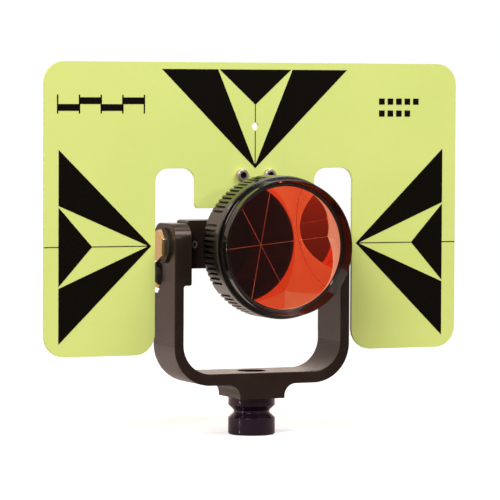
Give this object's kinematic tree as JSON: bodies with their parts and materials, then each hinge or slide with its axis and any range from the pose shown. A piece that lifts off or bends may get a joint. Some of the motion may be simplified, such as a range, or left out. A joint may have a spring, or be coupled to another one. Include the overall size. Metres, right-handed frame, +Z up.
{
  "type": "survey prism",
  "caption": "Single-tilt survey prism: round glass corner cube in a fluted canister, framed by a flat sighting plate, tilting in a yoke on a threaded pole adapter.",
  "frame": {"origin": "mouth of the pole socket, on the adapter's axis", "axes": "+Z up along the pole adapter, -Y the way the glass faces, +X to the right of a viewer who looks into the glass"},
  "size_m": [0.2286, 0.0656, 0.1903],
  "materials": {
    "adapter_black": "turned and black anodised with a purple cast",
    "black_anodised": "satin black anodised, fine bead-blasted grain",
    "black_gloss": "glossy black anodised",
    "black_nylon": "matte",
    "black_print": "screen print, semi-matte",
    "black_rubber": "matte",
    "brass": "turned, lightly tarnished",
    "knob_plastic": "moulded, satin",
    "lime_plate": "satin high-visibility yellow-green sheet",
    "nickel_steel": "nickel plated",
    "optical_glass": "polished, copper coated on its three rear faces",
    "pale_paint": "engraved and filled"
  },
  "bodies": {
    "yoke": {"yoke_frame": "black_anodised", "stem_adapter": "adapter_black", "left_pivot_bush": "black_nylon", "right_pivot_bush": "black_nylon"},
    "prism": {"holder_ring": "black_anodised", "lug_mark": "pale_paint", "canister_grub_screw": "nickel_steel", "left_pivot_washer": "black_nylon", "right_pivot_washer": "black_nylon", "left_pivot_bolt": "brass", "right_pivot_bolt": "brass", "target_plate": "lime_plate", "target_markings": "black_print", "target_screws": "nickel_steel", "canister_body": "black_anodised", "canister_bezel": "black_gloss", "glass_retaining_ring": "black_gloss", "front_gasket": "black_rubber", "prism_glass": "optical_glass", "rear_cushion": "black_rubber", "rear_cover_seal": "black_rubber", "rear_cover": "black_anodised"},
    "shoe": {"lock_shoe": "black_nylon"},
    "knob": {"lock_screw": "brass", "lock_knob": "knob_plastic"}
  },
  "joints": [
    {"name": "tilt", "type": "hinge", "parent": "yoke", "child": "prism", "pos_m": [0, 0, 0.0974], "axis": [1, 0, 0], "range_deg": [-90, 90]},
    {"name": "lock_travel", "type": "slide", "parent": "yoke", "child": "shoe", "axis": [0, 0.5736, -0.8192], "range_m": [0, 0.0012]},
    {"name": "lock_turn", "type": "hinge", "parent": "shoe", "child": "knob", "pos_m": [-0.0458, 0.007, 0.08741], "axis": [0, 0.5736, -0.8192], "range_deg": [0, 540]}
  ],
  "couplings": [
    {"joint": "lock_turn", "follows": "lock_travel", "rad_per_m": 7853.9}
  ]
}
